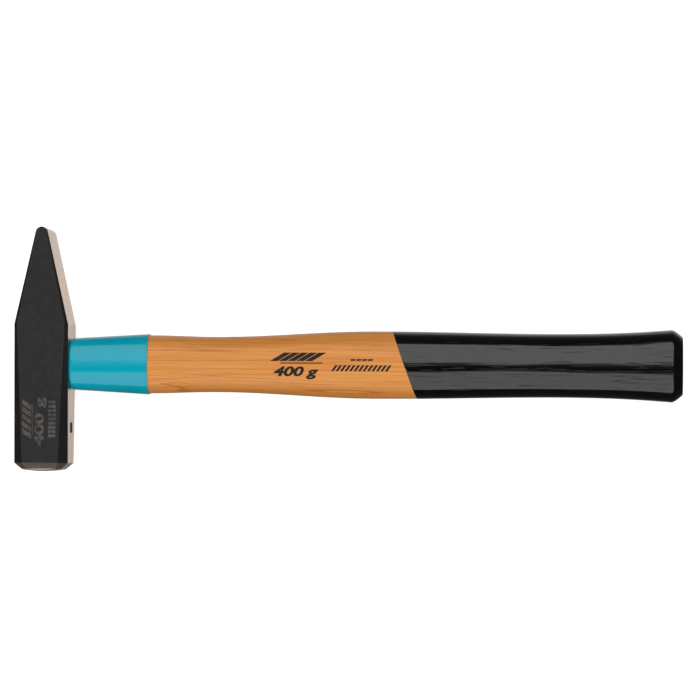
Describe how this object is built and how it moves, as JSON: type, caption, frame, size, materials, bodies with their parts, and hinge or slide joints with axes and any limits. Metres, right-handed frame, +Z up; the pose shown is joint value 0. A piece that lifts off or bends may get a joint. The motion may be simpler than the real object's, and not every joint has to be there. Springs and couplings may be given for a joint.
{
  "type": "cross-peen engineer's hammer",
  "caption": "Cross-peen engineer's hammer with a crowned square face, a tapered peen, and a wedged wooden handle with a steel neck sleeve and a dipped grip.",
  "frame": {"origin": "point of the lower cheek straight under the middle of the eye", "axes": "+X along the handle to the butt, +Y towards the peen, +Z up from the cheek that the hammer lies on"},
  "size_m": [0.3071, 0.1127, 0.025],
  "materials": {
    "head_steel": "ground steel with black painted cheeks",
    "handle_wood": "clear lacquered hickory with a black dipped grip",
    "sleeve_paint": "glossy paint",
    "wedge_wood": "bare",
    "wedge_steel": "bright"
  },
  "bodies": {
    "root": {"hammer_head": "head_steel", "handle": "handle_wood", "handle_sleeve": "sleeve_paint", "wood_wedge": "wedge_wood", "ring_wedge": "wedge_steel"}
  },
  "joints": []
}
